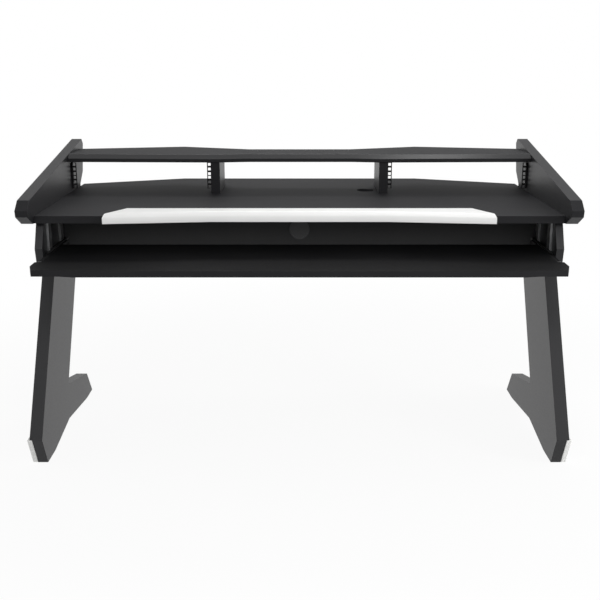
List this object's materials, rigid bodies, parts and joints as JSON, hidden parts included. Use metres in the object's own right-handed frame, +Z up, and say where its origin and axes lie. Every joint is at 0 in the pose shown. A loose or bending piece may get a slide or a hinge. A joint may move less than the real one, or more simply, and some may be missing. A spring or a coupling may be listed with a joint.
{
  "type": "studio desk",
  "caption": "Black studio desk with slanted legs, raised bridge shelf over rack bays, white padded armrest and a sliding keyboard tray.",
  "frame": {"origin": "on the floor, under the middle of the desk's bounding box as it stands in the picture, with its tray part-way out", "axes": "+X to the player's right, along the desk's width; +Y away from the player; +Z up"},
  "size_m": [1.6662, 1.035, 0.937],
  "materials": {
    "black_laminate": "fine-grained satin melamine, black",
    "black_lacquer": "matt black lacquer on board",
    "white_leatherette": "smooth white leatherette over firm foam",
    "white_laminate": "satin white melamine",
    "black_steel": "black powder coat, fine texture",
    "zinc_steel": "bright zinc plating",
    "black_plastic": "moulded black plastic, satin"
  },
  "bodies": {
    "desk": {"worktop": "black_laminate", "bridge_shelf": "black_laminate", "armrest_pad": "white_leatherette", "armrest_board": "black_lacquer", "back_panel": "black_lacquer", "grommet_ring": "black_plastic", "grommet_cap": "black_plastic", "armrest_plate_1": "zinc_steel", "armrest_plate_2": "zinc_steel", "armrest_plate_3": "zinc_steel", "armrest_plate_4": "zinc_steel", "side_panel_left": "black_laminate", "leg_left": "black_laminate", "cheek_left": "black_laminate", "upright_left": "black_laminate", "toe_plate_left": "white_laminate", "floor_glide_front_left": "black_plastic", "slide_bracket_front_left": "zinc_steel", "floor_glide_rear_left": "black_plastic", "slide_bracket_rear_left": "zinc_steel", "leg_bolt_1_left": "zinc_steel", "leg_bolt_2_left": "zinc_steel", "leg_bolt_3_left": "zinc_steel", "slide_outer_left": "black_steel", "rack_rail_left_outer": "black_steel", "rail_screw_lower_left_outer": "zinc_steel", "rail_screw_upper_left_outer": "zinc_steel", "rack_rail_left_inner": "black_steel", "rail_screw_lower_left_inner": "zinc_steel", "rail_screw_upper_left_inner": "zinc_steel", "side_panel_right": "black_laminate", "leg_right": "black_laminate", "cheek_right": "black_laminate", "upright_right": "black_laminate", "toe_plate_right": "white_laminate", "floor_glide_front_right": "black_plastic", "slide_bracket_front_right": "zinc_steel", "floor_glide_rear_right": "black_plastic", "slide_bracket_rear_right": "zinc_steel", "leg_bolt_1_right": "zinc_steel", "leg_bolt_2_right": "zinc_steel", "leg_bolt_3_right": "zinc_steel", "slide_outer_right": "black_steel", "rack_rail_right_outer": "black_steel", "rail_screw_lower_right_outer": "zinc_steel", "rail_screw_upper_right_outer": "zinc_steel", "rack_rail_right_inner": "black_steel", "rail_screw_lower_right_inner": "zinc_steel", "rail_screw_upper_right_inner": "zinc_steel"},
    "tray": {"keyboard_tray": "black_laminate", "slide_inner_left": "black_steel", "slide_inner_right": "black_steel", "slide_end_cap_left": "black_plastic", "slide_end_cap_right": "black_plastic"},
    "retainer_left": {"ball_retainer_left": "zinc_steel"},
    "retainer_right": {"ball_retainer_right": "zinc_steel"}
  },
  "joints": [
    {"name": "tray_slide", "type": "slide", "parent": "desk", "child": "tray", "axis": [0, -1, 0], "range_m": [-0.08, 0.145]},
    {"name": "retainer_slide_left", "type": "slide", "parent": "desk", "child": "retainer_left", "axis": [0, -1, 0], "range_m": [-0.04, 0.0725]},
    {"name": "retainer_slide_right", "type": "slide", "parent": "desk", "child": "retainer_right", "axis": [0, -1, 0], "range_m": [-0.04, 0.0725]}
  ],
  "couplings": [
    {"joint": "retainer_slide_left", "follows": "tray_slide", "ratio": 0.5},
    {"joint": "retainer_slide_right", "follows": "tray_slide", "ratio": 0.5}
  ]
}
